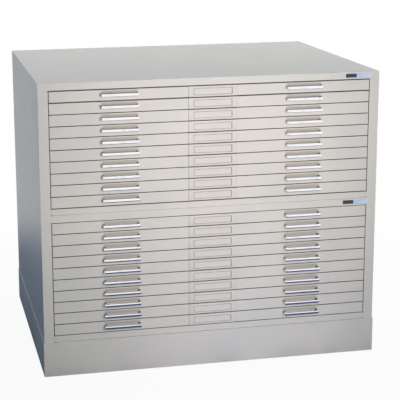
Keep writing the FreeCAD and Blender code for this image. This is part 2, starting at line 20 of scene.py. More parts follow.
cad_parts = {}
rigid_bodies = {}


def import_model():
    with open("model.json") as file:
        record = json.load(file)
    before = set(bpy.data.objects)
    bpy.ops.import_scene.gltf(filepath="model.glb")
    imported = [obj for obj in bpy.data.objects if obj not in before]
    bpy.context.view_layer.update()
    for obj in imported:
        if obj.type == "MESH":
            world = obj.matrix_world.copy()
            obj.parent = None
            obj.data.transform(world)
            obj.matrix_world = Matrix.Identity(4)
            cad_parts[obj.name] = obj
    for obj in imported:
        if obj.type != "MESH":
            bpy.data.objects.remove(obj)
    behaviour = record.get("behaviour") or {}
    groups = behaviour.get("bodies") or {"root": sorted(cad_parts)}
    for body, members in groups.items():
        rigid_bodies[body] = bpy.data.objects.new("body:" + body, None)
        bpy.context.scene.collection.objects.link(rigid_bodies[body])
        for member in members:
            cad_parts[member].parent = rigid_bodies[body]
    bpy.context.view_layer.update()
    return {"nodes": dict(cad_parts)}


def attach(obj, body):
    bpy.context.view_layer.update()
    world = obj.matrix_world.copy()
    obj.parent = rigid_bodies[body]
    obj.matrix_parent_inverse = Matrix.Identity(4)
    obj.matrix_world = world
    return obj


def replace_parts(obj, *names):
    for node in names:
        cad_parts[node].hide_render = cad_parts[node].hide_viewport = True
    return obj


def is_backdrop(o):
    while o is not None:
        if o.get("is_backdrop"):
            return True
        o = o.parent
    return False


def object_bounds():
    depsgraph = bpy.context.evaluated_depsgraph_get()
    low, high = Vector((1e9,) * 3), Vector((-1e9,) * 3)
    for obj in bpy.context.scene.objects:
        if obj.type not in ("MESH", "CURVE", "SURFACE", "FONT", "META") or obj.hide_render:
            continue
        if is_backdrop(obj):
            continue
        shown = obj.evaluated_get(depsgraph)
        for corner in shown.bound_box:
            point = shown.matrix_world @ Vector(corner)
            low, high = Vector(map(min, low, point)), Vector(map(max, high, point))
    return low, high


log = logging.getLogger("flat_file")

Pair = tuple[float, float]
Triple = tuple[float, float, float]
Colour = tuple[float, ...]
Faces = list[bmesh.types.BMFace]
Material = bpy.types.Material
Mesh = bpy.types.Mesh

MM = 0.001
FRONT_PLANE = -380.5 * MM
UNIT_FLOORS = {"upper": 497.9 * MM, "lower": 106.5 * MM}
FIRST_CELL_TOP = 368.3 * MM
DRAWER_PITCH = 34.75 * MM
DRAWERS_PER_UNIT = 10
SMOOTH_BELOW = math.radians(35)
ON_PLANE = 0.01 * MM
MERGE_BELOW = 0.005 * MM


class Slot(Enum):
    """Material slots of the record."""

    ENAMEL = "sand_enamel"
    CHROME = "bright_chrome"
    ZINC = "zinc_steel"
    BADGE = "badge_plate"


# Shader maths


class Reading:
    """A shader socket that takes part in sums."""

    def __init__(self, bench: ShaderBench, socket: bpy.types.NodeSocket) -> None:
        """Wrap a socket.

        Args:
            bench: The shader that the socket is in.
            socket: The output that is read.
        """
        self.bench = bench
        self.socket = socket

    def __add__(self, other: Reading | float) -> Reading:
        """Sum."""
        return self.bench.maths("ADD", self, other)

    def __sub__(self, other: Reading | float) -> Reading:
        """Difference."""
        return self.bench.maths("SUBTRACT", self, other)

    def __rsub__(self, other: float) -> Reading:
        """Difference from a number."""
        return self.bench.maths("SUBTRACT", other, self)

    def __mul__(self, other: Reading | float) -> Reading:
        """Product."""
        return self.bench.maths("MULTIPLY", self, other)

    __radd__ = __add__
    __rmul__ = __mul__


class ShaderBench:
    """Builds the nodes of a material or of the world."""

    def __init__(self, owner: str | bpy.types.World) -> None:
        """Start with no nodes.

        Args:
            owner: The name of a new material, or the world that gets them.
        """
        self.owner = bpy.data.materials.new(owner) if isinstance(owner, str) else owner
        self.owner.use_nodes = True
        self.tree = self.owner.node_tree
        self.tree.nodes.clear()

    def node(
        self, kind: str, settings: dict[str, object] | None = None, **inputs: object
    ) -> bpy.types.Node:
        """Add one node.

        Args:
            kind: The node's type, without the ShaderNode prefix.
            settings: Properties that are set first.
            inputs: Values or readings of its sockets, by name with _ for a space. A name
                such as input_2 gives the socket by number.

        Returns:
            The new node.
        """
        made = self.tree.nodes.new(f"ShaderNode{kind}")
        for key, value in (settings or {}).items():
            setattr(made, key, value)
        for key, value in inputs.items():
            numbered = key.startswith("input_")
            place = int(key.removeprefix("input_")) if numbered else key.replace("_", " ")
            socket = made.inputs[place]
            if isinstance(value, Reading):
                self.tree.links.new(value.socket, socket)
            else:
                socket.default_value = value
        return made

    def read(self, made: bpy.types.Node, output: str | int = 0) -> Reading:
        """Wrap one of a node's outputs."""
        return Reading(self, made.outputs[output])

    def maths(
        self, operation: str, first: Reading | float, second: Reading | float = 0.0
    ) -> Reading:
        """Add a Math node and read it."""
        made = self.node("Math", {"operation": operation}, input_0=first, input_1=second)
        return self.read(made)

    def smooth(self, value: Reading, low: float, high: float) -> Reading:
        """0 below low, 1 above high and smooth between."""
        kind = {"interpolation_type": "SMOOTHSTEP"}
        return self.read(self.node("MapRange", kind, Value=value, From_Min=low, From_Max=high))

    def band(self, value: Reading, low: float, high: float, blur: float) -> Reading:
        """1 from low to high and 0 outside, smooth over the blur at both ends."""
        past = self.smooth(value, high - blur, high + blur)
        return self.smooth(value, low - blur, low + blur) * (1 - past)

    def place(self) -> tuple[Reading, Reading, Reading, Reading]:
        """Object coordinates.

        Returns:
            The vector, then its X, Y and Z.
        """
        vector = self.read(self.node("TexCoord"), "Object")
        split = self.node("SeparateXYZ", Vector=vector)
        return vector, self.read(split, 0), self.read(split, 1), self.read(split, 2)

    def noise(
        self, vector: Reading, scale: float, detail: float = 1.0, roughness: float = 0.5
    ) -> Reading:
        """Noise from 0 to 1 about a half."""
        inputs = {"Vector": vector, "Scale": scale, "Detail": detail, "Roughness": roughness}
        return self.read(self.node("TexNoise", **inputs))

    def stretched(self, vector: Reading, scale: Triple) -> Reading:
        """Scale a vector along each axis."""
        return self.read(self.node("Mapping", Vector=vector, Scale=scale))

    def mix(self, share: Reading | float, first: object, second: object) -> Reading:
        """Mix two colours."""
        made = self.node("Mix", {"data_type": "RGBA"}, Factor=share, input_6=first, input_7=second)
        return self.read(made, 2)

    def bump(self, height: Reading, distance: float, over: Reading | None = None) -> Reading:
        """Turn a height from 0 to 1 into a normal.

        Args:
            height: The height as a share.
            distance: The depth that a height of 1 stands for.
            over: A normal that it lies on.

        Returns:
            The normal.
        """
        below = {} if over is None else {"Normal": over}
        return self.read(self.node("Bump", Height=height, Distance=distance, **below))

    def blend(self, share: Reading, *shaders: bpy.types.Node) -> bpy.types.Node:
        """Mix two shaders."""
        first, second = (self.read(shader) for shader in shaders)
        return self.node("MixShader", Fac=share, input_1=first, input_2=second)

    def mirrored(self, path: bpy.types.Node) -> Reading:
        """1 where a reflection or a transmission looks, from a Light Path node."""
        glossy, through = self.read(path, "Is Glossy Ray"), self.read(path, "Is Transmission Ray")
        return self.maths("MAXIMUM", glossy, through)

    def finish(self, shader: bpy.types.Node) -> Material | bpy.types.World:
        """Put a shader on the output.

        Args:
            shader: The shader's node.

        Returns:
            The finished material or world.
        """
        kind = "OutputWorld" if isinstance(self.owner, bpy.types.World) else "OutputMaterial"
        self.node(kind, Surface=self.read(shader))
        return self.owner


def colour(red: int, green: int, blue: int) -> Colour:
    """Turn a screen colour into a linear one.

    Args:
        red: Its red, from 0 to 255.
        green: Its green.
        blue: Its blue.

    Returns:
        The linear colour with an alpha of 1.
    """
    shares = (value / 255 for value in (red, green, blue))
    linear = (s / 12.92 if s <= 0.04045 else ((s + 0.055) / 1.055) ** 2.4 for s in shares)
    return (*linear, 1.0)


WHITE = colour(255, 255, 255)


# Finishes


@dataclass(frozen=True)
class GapLine:
    """A line of painted shade along a gap: its height, half its thickness and its strength."""

    level: float
    half: float
    share: float


@dataclass(frozen=True)
class EnamelFinish:
    """Baked semi-gloss enamel on sheet steel, with orange peel and a slight wave in the sheet."""

    name: str = "sand_enamel"
    tint: Colour = colour(209, 203, 194)
    cool_tint: Colour = colour(203, 199, 192)
    dust_tint: Colour = colour(186, 180, 170)
    roughness: float = 0.36
    roughness_spread: float = 0.10
    specular: float = 0.3
    coat: float = 0.06
    coat_roughness: float = 0.2
    smear_stretch: Triple = (3.0, 3.0, 14.0)
    smear_scale: float = 2.4
    peel_scale: float = 520.0
    peel_depth: float = 0.04 * MM
    wave_scale: float = 3.2
    wave_depth: float = 1.6 * MM
    cloud_scale: float = 5.0
    cloud_range: Pair = (0.35, 0.68)
    speck_scale: float = 900.0
    speck_range: Pair = (0.62, 0.80)
    speck_share: float = 0.25
    dust_height: float = 50 * MM
    dust_range: Pair = (0.3, 0.7)
    dust_share: float = 0.5
    # Painted shade: the tint that darkens the gaps, the folds and the face edges.
    painted_shade_tint: Colour = colour(62, 60, 42)
    front_ends: Pair = (0.8 * MM, 1.2 * MM)
    fold_depth: Pair = (0.2 * MM, 9 * MM)
    fold_blur: float = 0.12 * MM
    fold_shade_share: float = 0.85
    opening_half: float = 489 * MM
    opening_blur: float = 1 * MM
    opening_up: Pair = (18 * MM, 370 * MM)
    line_blur: float = 0.3 * MM
    # Painted shade along the gap under the upper unit's top rail and the gap over its bottom rail.
    lines: tuple[GapLine, ...] = (
        GapLine(UNIT_FLOORS["upper"] + 369.2 * MM, half=0.9 * MM, share=0.75),
        GapLine(UNIT_FLOORS["upper"] + 19.3 * MM, half=0.7 * MM, share=0.6),
    )

    def on_front(self, bench: ShaderBench, along: Reading) -> Reading:
        """1 on the front sheet and 0 behind it."""
        near, far = self.front_ends
        return 1 - bench.smooth(along, FRONT_PLANE + near, FRONT_PLANE + far)

    def on_folds(self, bench: ShaderBench, along: Reading) -> Reading:
        """1 on the folds behind the front sheet and 0 elsewhere."""
        near, far = self.fold_depth
        return bench.band(along, FRONT_PLANE + near, FRONT_PLANE + far, self.fold_blur)

    def in_opening(self, bench: ShaderBench, across: Reading, edge: float) -> Reading:
        """1 between the sides of the opening, down to 0 in one blur from an edge."""
        side = bench.maths("ABSOLUTE", across)
        return 1 - bench.smooth(side, edge, edge + self.opening_blur)

    def shaded_gaps(self, bench: ShaderBench, base: Reading, place: tuple[Reading, ...]) -> Reading:
        """Darken the front along a few gaps with painted shade.

        Args:
            bench: The shader.
            base: The clean colour.
            place: X, Y and Z.

        Returns:
            The marked colour.
        """
        across, along, height = place
        edge = self.opening_half - 2 * self.opening_blur
        where = self.on_front(bench, along) * self.in_opening(bench, across, edge)
        for line in self.lines:
            low, high = line.level - line.half, line.level + line.half
            # Painted shade: a dark band along each gap.
            dark = bench.band(height, low, high, self.line_blur)
            base = bench.mix(dark * where * line.share, base, self.painted_shade_tint)
        return base

    def marks(self, bench: ShaderBench, base: Reading, place: tuple[Reading, ...]) -> Reading:
        """Darken the folds round a unit's opening with painted shade.

        Args:
            bench: The shader.
            base: The clean colour.
            place: X, Y and Z.

        Returns:
            The marked colour.
        """
        across, along, height = place
        low, high = self.opening_up
        upper, lower = (
            bench.band(height, floor + low, floor + high, self.line_blur)
            for floor in UNIT_FLOORS.values()
        )
        # Painted shade on the folds behind the front sheet, inside each unit's opening.
        where = self.on_folds(bench, along) * self.in_opening(bench, across, self.opening_half)
        base = self.shaded_gaps(bench, base, place)
        return bench.mix(where * (upper + lower) * self.fold_shade_share, base, self.painted_shade_tint)

    def build(self) -> Material:
        """Build the material.

        Returns:
            The material.
        """
        bench = ShaderBench(self.name)
        vector, across, along, height = bench.place()
        cloud = bench.noise(vector, self.cloud_scale, detail=4.0, roughness=0.55)
        base = bench.mix(bench.smooth(cloud, *self.cloud_range), self.tint, self.cool_tint)
        speck = bench.smooth(bench.noise(vector, self.speck_scale), *self.speck_range)
        base = bench.mix(speck * self.speck_share, base, self.dust_tint)
        low_down = 1 - bench.smooth(height, 0.0, self.dust_height)
        dusty = low_down * bench.smooth(cloud, *self.dust_range) * self.dust_share
        base = bench.mix(dusty, base, self.dust_tint)
        smeared = bench.stretched(vector, self.smear_stretch)
        smear = bench.noise(smeared, self.smear_scale, detail=5.0, roughness=0.6)
        wave = bench.bump(bench.noise(vector, self.wave_scale), self.wave_depth)
        grain = bench.noise(vector, self.peel_scale, detail=1.5)
        shader = bench.node(
            "BsdfPrincipled",
            Base_Color=self.marks(bench, base, (across, along, height)),
            Roughness=self.roughness + (smear - 0.5) * self.roughness_spread,
            Normal=bench.bump(grain, self.peel_depth, over=wave),
            Specular_IOR_Level=self.specular,
            Coat_Weight=self.coat,
            Coat_Roughness=self.coat_roughness,
        )
        return bench.finish(shader)


@dataclass(frozen=True)
class DrawerFinish(EnamelFinish):
    """The enamel on a drawer, with painted shade on its folded edges and a painted shadow over its
    pulls.
    """

    name: str = "drawer_enamel"
    # Painted shade along the top and bottom edges of each face.
    edge: float = 1.3 * MM
    edge_blur: float = 0.5 * MM
    edge_shade_share: float = 0.45
    # Painted shadow of each pull's bar on the face above it.
    pull_shadow_tint: Colour = colour(158, 150, 138)
    pull_shadow_share: float = 0.75
    pull_shadow_across: Pair = (226 * MM, 333 * MM)
    pull_shadow_up: Pair = (20.5 * MM, 31 * MM)
    pull_shadow_blur: Pair = (5 * MM, 2 * MM)
    # Painted shade along the first two gaps of the upper unit.
    lines: tuple[GapLine, ...] = (
        GapLine(UNIT_FLOORS["upper"] + FIRST_CELL_TOP - 1.2 * MM, half=1.2 * MM, share=0.6),
        GapLine(UNIT_FLOORS["upper"] + FIRST_CELL_TOP - DRAWER_PITCH, half=2.4 * MM, share=0.5),
    )

    def marks(self, bench: ShaderBench, base: Reading, place: tuple[Reading, ...]) -> Reading:
        """Darken the folded edges with painted shade, and the face above each pull with a painted
        shadow of its bar.

        Args:
            bench: The shader.
            base: The clean colour.
            place: X, Y and Z.

        Returns:
            The marked colour.
        """
        across, along, height = place
        upper, lower = UNIT_FLOORS["upper"], UNIT_FLOORS["lower"]
        level = height - lower - bench.maths("GREATER_THAN", height, upper) * (upper - lower)
        first = FIRST_CELL_TOP - DRAWERS_PER_UNIT * DRAWER_PITCH
        cell = bench.maths("FLOORED_MODULO", level - first, DRAWER_PITCH)
        front = self.on_front(bench, along)
        # Painted shadow of the pull's bar, above each pull on the front.
        wide_blur, tall_blur = self.pull_shadow_blur
        pull_shadow = bench.band(bench.maths("ABSOLUTE", across), *self.pull_shadow_across, wide_blur)
        pull_shadow = pull_shadow * bench.band(cell, *self.pull_shadow_up, tall_blur)
        base = bench.mix(pull_shadow * front * self.pull_shadow_share, base, self.pull_shadow_tint)
        # Painted shade along the top and bottom edges of each face.
        edges = 1 - bench.band(cell, self.edge, DRAWER_PITCH - self.edge, self.edge_blur)
        base = bench.mix(edges * front * self.edge_shade_share, base, self.painted_shade_tint)
        base = self.shaded_gaps(bench, base, place)
        # Painted shade on the folds behind the front sheet.
        return bench.mix(self.on_folds(bench, along) * self.fold_shade_share, base, self.painted_shade_tint)


@dataclass(frozen=True)
class ChromeFinish:
    """Bright chrome plate with faint polishing lines, finger marks and a painted dark reflection
    on its feet.
    """

    name: str = "bright_chrome"
    tint: Colour = colour(250, 250, 251)
    smudge_tint: Colour = colour(238, 240, 243)
    roughness: float = 0.08
    smudge_roughness: float = 0.08
    smudge_scale: float = 38.0
    smudge_range: Pair = (0.45, 0.72)
    # Painted reflection: the feet darken towards the face, which they would mirror in shade.
    foot_reflection_tint: Colour = colour(118, 120, 122)
    foot_from: float = 17 * MM
    foot_to: float = 9 * MM
    line_stretch: Triple = (40.0, 900.0, 900.0)
    line_depth: float = 0.004 * MM

    def build(self) -> Material:
        """Build the material.

        Returns:
            The material.
        """
        bench = ShaderBench(self.name)
        vector, _, along, _ = bench.place()
        cloud = bench.noise(vector, self.smudge_scale, detail=4.0, roughness=0.6)
        smudge = bench.smooth(cloud, *self.smudge_range)
        plate = bench.mix(smudge, self.tint, self.smudge_tint)
        # Painted dark reflection on the feet next to the face.
        foot = bench.smooth(along, FRONT_PLANE - self.foot_from, FRONT_PLANE - self.foot_to)
        lines = bench.noise(bench.stretched(vector, self.line_stretch), 1.0, detail=2.0)
        shader = bench.node(
            "BsdfPrincipled",
            Base_Color=bench.mix(foot, plate, self.foot_reflection_tint),
            Metallic=1.0,
            Roughness=self.roughness + smudge * self.smudge_roughness,
            Normal=bench.bump(lines, self.line_depth),
        )
        return bench.finish(shader)


@dataclass(frozen=True)
class ZincFinish:
    """Zinc-plated steel with its spangle and dull streaks."""

    name: str = "zinc_steel"
    light: Colour = colour(188, 190, 192)
    dark: Colour = colour(150, 153, 158)
    roughness: float = 0.34
    spangle_scale: float = 160.0
    streak_stretch: Triple = (120.0, 8.0, 120.0)
    streak_roughness: float = 0.2
    pattern_share: float = 0.6
    pattern_range: Pair = (0.2, 0.8)
    grain_depth: float = 0.01 * MM

    def build(self) -> Material:
        """Build the material.

        Returns:
            The material.
        """
        bench = ShaderBench(self.name)
        vector = bench.place()[0]
        cells = bench.node("TexVoronoi", Vector=vector, Scale=self.spangle_scale)
        stretched = bench.stretched(vector, self.streak_stretch)
        streak = bench.noise(stretched, 1.0, detail=4.0, roughness=0.6)
        pattern = (bench.read(cells) + streak) * self.pattern_share
        share = bench.smooth(pattern, *self.pattern_range)
        shader = bench.node(
            "BsdfPrincipled",
            Base_Color=bench.mix(share, self.light, self.dark),
            Metallic=1.0,
            Roughness=self.roughness + streak * self.streak_roughness,
            Normal=bench.bump(streak, self.grain_depth),
        )
        return bench.finish(shader)


@dataclass(frozen=True)
class BadgeFinish:
    """Blank plate with a dark enamelled end and a satin silver-blue field, split along X."""

    split: float
    end: float
    name: str = "badge_plate"
    dark: Colour = colour(46, 52, 66)
    pale: Colour = colour(178, 196, 232)
    # Painted sheen: the field grows from pale to this lighter tint towards its right end.
    bright: Colour = colour(206, 218, 240)
    blur: float = 0.3 * MM
    shine: float = 0.6
    roughness: float = 0.3
    roughness_spread: float = 0.15
    brush_stretch: Triple = (30.0, 900.0, 900.0)
    brush_share: float = 0.3
    brush_depth: float = 0.006 * MM

    def build(self) -> Material:
        """Build the material.

        Returns:
            The material.
        """
        bench = ShaderBench(self.name)
        vector, across, _, _ = bench.place()
        field_share = bench.smooth(across, self.split - self.blur, self.split + self.blur)
        brushed = bench.noise(bench.stretched(vector, self.brush_stretch), 1.0, detail=3.0)
        # Painted sheen towards the field's right end, mixed with the brushing.
        sheen_and_brushing = bench.smooth(across, self.split, self.end) * (1 - self.brush_share)
        sheen_and_brushing = sheen_and_brushing + brushed * self.brush_share
        shader = bench.node(
            "BsdfPrincipled",
            Base_Color=bench.mix(field_share, self.dark, bench.mix(sheen_and_brushing, self.pale, self.bright)),
            Metallic=field_share * self.shine,
            Roughness=self.roughness + brushed * self.roughness_spread,
            Normal=bench.bump(brushed, self.brush_depth),
        )
        return bench.finish(shader)


@dataclass(frozen=True)
class CardFinish:
    """Blank card with its paper fibre."""

    name: str = "blank_card"
    tint: Colour = colour(213, 207, 198)
    fibre_tint: Colour = colour(204, 197, 188)
    fibre_stretch: Triple = (1.0, 1.0, 2.5)
    fibre_scale: float = 700.0
    fibre_depth: float = 0.03 * MM
    roughness: float = 0.75
    roughness_spread: float = 0.1

    def build(self) -> Material:
        """Build the material.

        Returns:
            The material.
        """
        bench = ShaderBench(self.name)
        stretched = bench.stretched(bench.place()[0], self.fibre_stretch)
        fibre = bench.noise(stretched, self.fibre_scale, detail=3.0, roughness=0.6)
        shader = bench.node(
            "BsdfPrincipled",
            Base_Color=bench.mix(fibre, self.tint, self.fibre_tint),
            Roughness=self.roughness + fibre * self.roughness_spread,
            Normal=bench.bump(fibre, self.fibre_depth),
        )
        return bench.finish(shader)


@dataclass(frozen=True)
class FloorFinish:
    """Pale floor that keeps the shadow by the cabinet and runs into white further out.

    A reflection sees it painted in mirror_shade up to mirror_dark, glowing in mirror_tint from
    mirror_white and white from mirror_far, all distances from the cabinet's middle.
    """

    name: str = "studio_floor"
    tint: Colour = colour(232, 232, 232)
    bounce: Colour = colour(150, 152, 156)
    white_share: float = 0.93
    shadow_ends: float = 0.9
    white_from: float = 1.7
    mirror_tint: Colour = colour(248, 249, 251)
    mirror_shade: Colour = colour(92, 106, 142)
    mirror_dark: float = 1.1
    mirror_white: float = 1.8
    mirror_far: float = 3.2

    def build(self) -> Material:
        """Build the material.

        Returns:
            The material.
        """
        bench = ShaderBench(self.name)
        _, across, along, _ = bench.place()
        reach = bench.maths("SQRT", across * across + along * along)
        path = bench.node("LightPath")
        seen, mirrored = bench.read(path, "Is Camera Ray"), bench.mirrored(path)
        outside = bench.smooth(reach, self.shadow_ends, self.white_from)
        seen_white = self.white_share + outside * (1 - self.white_share)
        mirrored_white = bench.smooth(reach, self.mirror_dark, self.mirror_white)
        far = mirrored * bench.smooth(reach, self.mirror_white, self.mirror_far)
        shaded = bench.mix(mirrored, self.bounce, self.mirror_shade)
        paint = bench.node("BsdfDiffuse", Color=bench.mix(seen, shaded, self.tint))
        glow = bench.mix(far, WHITE, self.mirror_tint)
        white = bench.node("Emission", Color=glow, Strength=1.0)
        share = bench.maths("MAXIMUM", seen * seen_white, mirrored * mirrored_white)
        return bench.finish(bench.blend(share, paint, white))


@dataclass(frozen=True)
class SkyFinish:
    """Soft cool light from all round that is seen and mirrored as white."""

    light: Colour = (0.13, 0.20, 0.28, 1.0)

    def build(self, world: bpy.types.World) -> bpy.types.World:
        """Dress a world.

        Args:
            world: The world.

        Returns:
            The same world.
        """
        bench = ShaderBench(world)
        path = bench.node("LightPath")
        seen = bench.maths("MAXIMUM", bench.read(path, "Is Camera Ray"), bench.mirrored(path))
        soft = bench.node("Background", Color=self.light, Strength=1.0)
        white = bench.node("Background", Color=WHITE, Strength=1.0)
        return bench.finish(bench.blend(seen, soft, white))


# Meshes


class Workpiece:
    """A shape under construction in a bmesh."""

    def __init__(self) -> None:
        """Start with nothing."""
        self.bm = bmesh.new()

    def box(self, low: Triple, high: Triple) -> list[bmesh.types.BMVert]:
        """Add a box.

        Args:
            low: Its lowest corner.
            high: Its highest corner.

        Returns:
            Its corners.
        """
        corners = bmesh.ops.create_cube(self.bm, size=1.0)["verts"]
        bmesh.ops.scale(self.bm, verts=corners, vec=Vector(high) - Vector(low))
        bmesh.ops.translate(self.bm, verts=corners, vec=(Vector(high) + Vector(low)) / 2)
        return corners

    def plate(self, width: float, height: float, corner: float, steps: int) -> Faces:
        """Add a flat rectangle in the XZ plane with rounded corners.

        Args:
            width: Size along X.
            height: Size along Z.
            corner: Radius of its corners.
            steps: Edges in each corner.

        Returns:
            Its one face, in a list.
        """
        corners = bmesh.ops.create_grid(self.bm, x_segments=1, y_segments=1, size=0.5)["verts"]
        bmesh.ops.scale(self.bm, verts=corners, vec=(width, height, 1.0))
        bmesh.ops.rotate(self.bm, verts=corners, matrix=Matrix.Rotation(math.pi / 2, 3, "X"))
        self._round(corners, corner, steps, "VERTICES")
        return list(self.bm.faces)

    def soften(self, edges: Iterable[bmesh.types.BMEdge], radius: float, steps: int = 2) -> None:
        """Round edges.

        Args:
            edges: The edges.
            radius: Width of the rounding.
            steps: Faces across it.
        """
        self._round(list(edges), radius, steps, "EDGES")

    def _round(self, geometry: list, radius: float, steps: int, affect: str) -> None:
        """Bevel corners or edges."""
        bmesh.ops.bevel(
            self.bm,
            geom=geometry,
            offset=radius,
            segments=steps,
            profile=0.5,
            affect=affect,
            material=-1,
        )

    def push(self, faces: Faces, step: Triple) -> Faces:
        """Extrude faces.

        Args:
            faces: The faces at the end.
            step: How far they move.

        Returns:
            The faces at the new end.
        """
        made = bmesh.ops.extrude_face_region(self.bm, geom=faces)["geom"]
        moved = [item for item in made if isinstance(item, bmesh.types.BMVert)]
        bmesh.ops.translate(self.bm, verts=moved, vec=step)
        self._clear(faces)
        return [item for item in made if isinstance(item, bmesh.types.BMFace)]

    def _clear(self, faces: Faces) -> None:
        """Delete faces that ended up inside, and keep one that closes a start."""
        inside = [
            face
            for face in faces
            if face.is_valid and all(len(edge.link_faces) > 2 for edge in face.edges)
        ]
        bmesh.ops.delete(self.bm, geom=inside, context="FACES")

    def squeeze(self, faces: Faces, share: float, about: float) -> None:
        """Scale faces along X.

        Args:
            faces: The faces.
            share: Their new width as a share of the old one.
            about: The X that stays.
        """
        corners = list({vert for face in faces for vert in face.verts})
        centre = Matrix.Translation((-about, 0.0, 0.0))
        bmesh.ops.scale(self.bm, verts=corners, vec=(share, 1.0, 1.0), space=centre)

    def bend(self, faces: Faces, centre: Triple, steps: int) -> Faces:
        """Sweep end faces through a quarter turn about an upright axis.

        Args:
            faces: The faces at the end.
            centre: A point on the axis.
            steps: Facets of the bend.

        Returns:
            The faces at the new end.
        """
        upright = (0.0, 0.0, 1.0)
        made = bmesh.ops.spin(
            self.bm, geom=faces, cent=centre, axis=upright, angle=math.pi / 2, steps=steps
        )["geom_last"]
        self._clear(faces)
        return [item for item in made if isinstance(item, bmesh.types.BMFace)]

    def turned(self, profile: Iterable[Pair], steps: int = 32) -> None:
        """Turn a profile once round the X axis.

        Args:
            profile: Places along X with their radii.
            steps: Facets of the full turn.
        """
        points = [self.bm.verts.new((along, 0.0, radius)) for along, radius in profile]
        edges = [self.bm.edges.new(pair) for pair in zip(points, points[1:])]
        bmesh.ops.spin(
            self.bm,
            geom=points + edges,
            cent=(0.0, 0.0, 0.0),
            axis=(1.0, 0.0, 0.0),
            angle=math.tau,
            steps=steps,
            use_merge=True,
        )

    def mesh(self) -> Mesh:
        """Merge doubles, turn the faces outwards and hand over a mesh.

        Returns:
            The mesh. The work is over.
        """
        bmesh.ops.remove_doubles(self.bm, verts=self.bm.verts, dist=MERGE_BELOW)
        bmesh.ops.recalc_face_normals(self.bm, faces=self.bm.faces)
        made = bpy.data.meshes.new("work")
        self.bm.to_mesh(made)
        self.bm.free()
        return made


def shown(name: str, data: bpy.types.ID) -> bpy.types.Object:
    """Put a mesh, a lamp or a camera into the scene.

    Args:
        name: The object's name.
        data: What it holds.

    Returns:
        The object.
    """
    made = bpy.data.objects.new(name, data)
    bpy.context.scene.collection.objects.link(made)
    return made


class Piece:
    """Shapes joined into one object at the origin."""

    def __init__(self, name: str) -> None:
        """Start with nothing.

        Args:
            name: The object's name.
        """
        self.name = name
        self.bm = bmesh.new()
        self.finishes: list[Material] = []

    def add(self, shape: Mesh, finish: Material, places: Iterable[Matrix]) -> None:
        """Add copies of a shape.

        Args:
            shape: The mesh.
            finish: Its material.
            places: Where the copies go.
        """
        if finish not in self.finishes:
            self.finishes.append(finish)
        for place in places:
            corners, faces = len(self.bm.verts), len(self.bm.faces)
            self.bm.from_mesh(shape)
            self.bm.verts.ensure_lookup_table()
            self.bm.faces.ensure_lookup_table()
            bmesh.ops.transform(self.bm, matrix=place, verts=self.bm.verts[corners:])
            for face in self.bm.faces[faces:]:
                face.material_index = self.finishes.index(finish)
                face.smooth = True

    def ride(self, body: str) -> bpy.types.Object:
        """Make the object and let it ride on a body.

        Args:
            body: The CAD body.

        Returns:
            The object.
        """
        for edge in self.bm.edges:
            edge.smooth = len(edge.link_faces) == 2 and edge.calc_face_angle() < SMOOTH_BELOW
        mesh = bpy.data.meshes.new(self.name)
        self.bm.to_mesh(mesh)
        self.bm.free()
        for finish in self.finishes:
            mesh.materials.append(finish)
        made = shown(self.name, mesh)
        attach(made, body)
        log.info("%s: %d faces on %s", self.name, len(mesh.polygons), body)
        return made


# Sub-assemblies


@dataclass
class BowPull:
    """Cast bow pull: two tapering posts and a bar with a crowned front. Its feet stand on Y 0."""

    length: float = 112 * MM
    height: float = 8.8 * MM
    reach: float = 24 * MM
    bar: float = 4.5 * MM
    post: float = 8 * MM
    bend_radius: float = 5.5 * MM
    edge: float = 1.3 * MM
    crown: float = 0.9 * MM
    edge_steps: int = 3
    crown_steps: int = 5
    bend_steps: int = 8

    def section(self, work: Workpiece) -> Faces:
        """Add the section of the left post, with the crown on its outer side.

        Args:
            work: The workpiece.

        Returns:
            The face of the section.
        """
        faces = work.plate(self.post, self.height, self.edge, self.edge_steps)
        to_end = ((self.post - self.length) / 2, 0.0, 0.0)
        bmesh.ops.translate(work.bm, verts=work.bm.verts, vec=to_end)
        outer = -self.length / 2
        side = {vert for vert in work.bm.verts if vert.co.x < outer + ON_PLANE}
        sides = [edge for edge in work.bm.edges if side.issuperset(edge.verts)]
        bmesh.ops.subdivide_edges(work.bm, edges=sides, cuts=self.crown_steps)
        for vert in work.bm.verts:
            if vert.co.x < outer + self.edge:
                vert.co.x += self.crown * (2 * vert.co.z / self.height) ** 2
        return faces

    def build(self) -> Mesh:
        """Build one pull.

        Returns:
            The mesh, centred on X and on Z.
        """
        work = Workpiece()
        outer, inner = self.length / 2, self.length / 2 - self.bend_radius
        straight = self.reach - self.bend_radius
        end = work.push(self.section(work), (0.0, -straight, 0.0))
        work.squeeze(end, self.bar / self.post, -outer)
        end = work.bend(end, (-inner, -straight, 0.0), self.bend_steps)
        end = work.push(end, (2 * inner, 0.0, 0.0))
        end = work.bend(end, (inner, -straight, 0.0), self.bend_steps)
        end = work.push(end, (0.0, straight, 0.0))
        work.squeeze(end, self.post / self.bar, outer)
        return work.mesh()


@dataclass
class PullScrew:
    """Pan-head screw along X, its head on the +X side of X 0."""

    shank: float = 1.9 * MM
    depth: float = 8 * MM
    head: float = 3.6 * MM
    rise: float = 2.2 * MM
    seat: float = 1 * MM
    driver: float = 1.5 * MM
    recess: float = 1.2 * MM
    recess_cone: float = 0.2 * MM
    recess_flare: float = 0.1 * MM
    shoulder: float = 0.4 * MM
    shoulder_share: float = 0.72
    crown: float = 1.2 * MM
    tip: float = 0.3 * MM
    tip_share: float = 0.8

    def build(self) -> Mesh:
        """Build the screw.

        Returns:
            The mesh.
        """
        work = Workpiece()
        top = self.seat + self.rise
        work.turned(
            (
                (top - self.recess, 0.0),
                (top - self.recess + self.recess_cone, self.driver),
                (top, self.driver + self.recess_flare),
                (top - self.shoulder, self.head * self.shoulder_share),
                (top - self.crown, self.head),
                (self.seat, self.head),
                (self.seat, self.shank),
                (self.tip - self.depth, self.shank),
                (-self.depth, self.shank * self.tip_share),
                (-self.depth, 0.0),
            )
        )
        return work.mesh()


